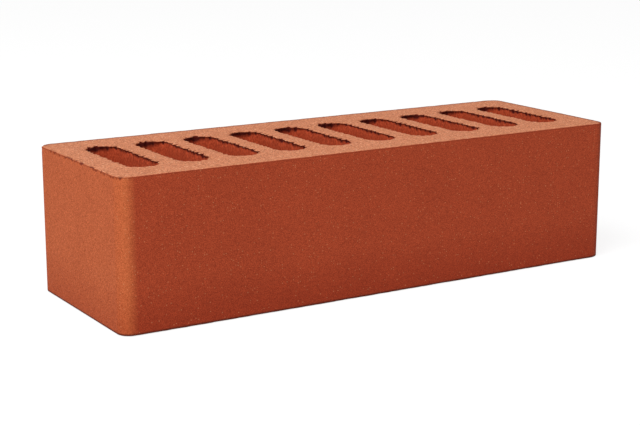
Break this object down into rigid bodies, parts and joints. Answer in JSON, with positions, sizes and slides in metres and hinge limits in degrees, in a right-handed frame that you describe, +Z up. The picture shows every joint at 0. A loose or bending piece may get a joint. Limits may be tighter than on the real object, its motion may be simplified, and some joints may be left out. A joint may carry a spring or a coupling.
{
  "type": "clay brick",
  "caption": "Hollow facing brick of fired red clay with rounded upright corners and a row of round-ended slots from bed to bed.",
  "frame": {"origin": "centre of the lower bed, the face that the brick lies on", "axes": "+X along the length (stretcher), +Y through the width from the front stretcher to the back one, +Z up the courses, along the slots"},
  "size_m": [0.25, 0.085, 0.065],
  "materials": {
    "fired_clay": "matte"
  },
  "bodies": {
    "root": {"brick": "fired_clay"}
  },
  "joints": []
}
